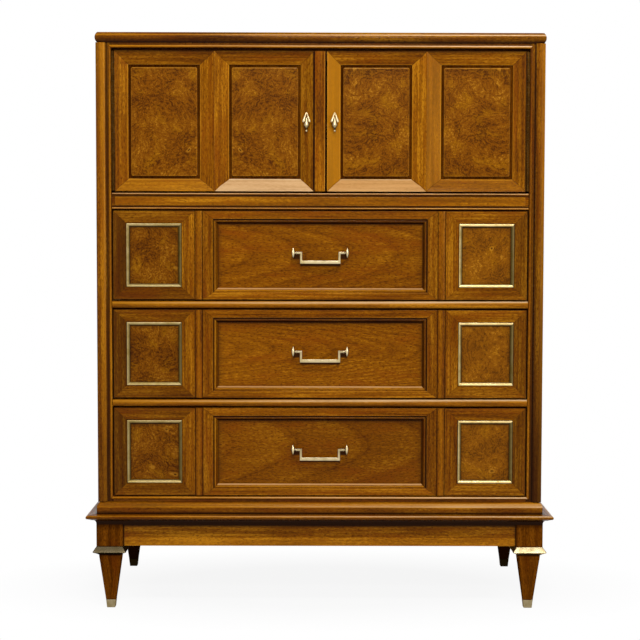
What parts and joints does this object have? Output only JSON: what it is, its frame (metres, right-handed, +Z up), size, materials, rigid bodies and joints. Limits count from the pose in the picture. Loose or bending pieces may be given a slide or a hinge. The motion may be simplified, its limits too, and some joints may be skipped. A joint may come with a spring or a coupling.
{
  "type": "highboy",
  "caption": "Tall chest on tapered legs: a cupboard with burl-panelled doors over wide drawers with brass bails.",
  "frame": {"origin": "on the floor, in the middle of the width and of the whole depth", "axes": "+Z up, +X to the right of someone facing the doors, +Y from the front to the back"},
  "size_m": [1.0136, 0.5016, 1.251],
  "materials": {
    "walnut": "semi-gloss lacquer",
    "burl_veneer": "semi-gloss lacquer",
    "secondary_wood": "plain sanded",
    "back_board": "matt stain",
    "antique_brass": "soft polished",
    "hinge_brass": "satin",
    "strike_steel": "zinc plated",
    "catch_plastic": "matt brown"
  },
  "bodies": {
    "case": {"aprons": "walnut", "back_panel": "back_board", "base_moulding": "walnut", "corner_post_left": "walnut", "corner_post_right": "walnut", "cupboard_floor": "walnut", "cupboard_shelf": "walnut", "door_catches": "catch_plastic", "door_rail": "walnut", "door_stop": "walnut", "drawer_guides": "secondary_wood", "drawer_rails": "walnut", "drawer_runners": "secondary_wood", "dust_panels": "secondary_wood", "front_rails": "walnut", "hinge_case_leaves": "hinge_brass", "hinge_pins": "hinge_brass", "leg_collars": "antique_brass", "leg_ferrules": "antique_brass", "legs": "walnut", "opening_bead": "walnut", "plinth_board": "walnut", "shelf_cleats": "secondary_wood", "side_panel_left": "walnut", "side_panel_right": "walnut", "top_board": "walnut"},
    "door_left": {"door_left_astragal": "walnut", "door_left_bevel_frame": "walnut", "door_left_burl_panels": "burl_veneer", "door_left_hinge_leaf": "hinge_brass", "door_left_knob": "antique_brass", "door_left_slab": "walnut", "door_left_strike": "strike_steel"},
    "door_right": {"door_right_bevel_frame": "walnut", "door_right_burl_panels": "burl_veneer", "door_right_hinge_leaf": "hinge_brass", "door_right_knob": "antique_brass", "door_right_slab": "walnut", "door_right_strike": "strike_steel"},
    "drawer_1": {"drawer_1_box": "secondary_wood", "drawer_1_brass_frames": "antique_brass", "drawer_1_burl_panels": "burl_veneer", "drawer_1_face_frames": "walnut", "drawer_1_front_board": "walnut", "drawer_1_pull_posts": "antique_brass"},
    "bail_1": {"drawer_1_bail": "antique_brass"},
    "drawer_2": {"drawer_2_box": "secondary_wood", "drawer_2_brass_frames": "antique_brass", "drawer_2_burl_panels": "burl_veneer", "drawer_2_face_frames": "walnut", "drawer_2_front_board": "walnut", "drawer_2_pull_posts": "antique_brass"},
    "bail_2": {"drawer_2_bail": "antique_brass"},
    "drawer_3": {"drawer_3_box": "secondary_wood", "drawer_3_brass_frames": "antique_brass", "drawer_3_burl_panels": "burl_veneer", "drawer_3_face_frames": "walnut", "drawer_3_front_board": "walnut", "drawer_3_pull_posts": "antique_brass"},
    "bail_3": {"drawer_3_bail": "antique_brass"}
  },
  "joints": [
    {"name": "door_left_hinge", "type": "hinge", "parent": "case", "child": "door_left", "pos_m": [-0.446, -0.22248, 1.0615], "axis": [0, 0, -1], "range_deg": [0, 120]},
    {"name": "door_right_hinge", "type": "hinge", "parent": "case", "child": "door_right", "pos_m": [0.446, -0.22248, 1.0615], "axis": [0, 0, 1], "range_deg": [0, 120]},
    {"name": "drawer_1_slide", "type": "slide", "parent": "case", "child": "drawer_1", "axis": [0, -1, 0], "range_m": [0, 0.33]},
    {"name": "bail_1_swing", "type": "hinge", "parent": "drawer_1", "child": "bail_1", "pos_m": [0, -0.23297, 0.77925], "axis": [-1, 0, 0], "range_deg": [-35, 110]},
    {"name": "drawer_2_slide", "type": "slide", "parent": "case", "child": "drawer_2", "axis": [0, -1, 0], "range_m": [0, 0.33]},
    {"name": "bail_2_swing", "type": "hinge", "parent": "drawer_2", "child": "bail_2", "pos_m": [0, -0.23297, 0.56575], "axis": [-1, 0, 0], "range_deg": [-35, 110]},
    {"name": "drawer_3_slide", "type": "slide", "parent": "case", "child": "drawer_3", "axis": [0, -1, 0], "range_m": [0, 0.33]},
    {"name": "bail_3_swing", "type": "hinge", "parent": "drawer_3", "child": "bail_3", "pos_m": [0, -0.23297, 0.35225], "axis": [-1, 0, 0], "range_deg": [-35, 110]}
  ]
}
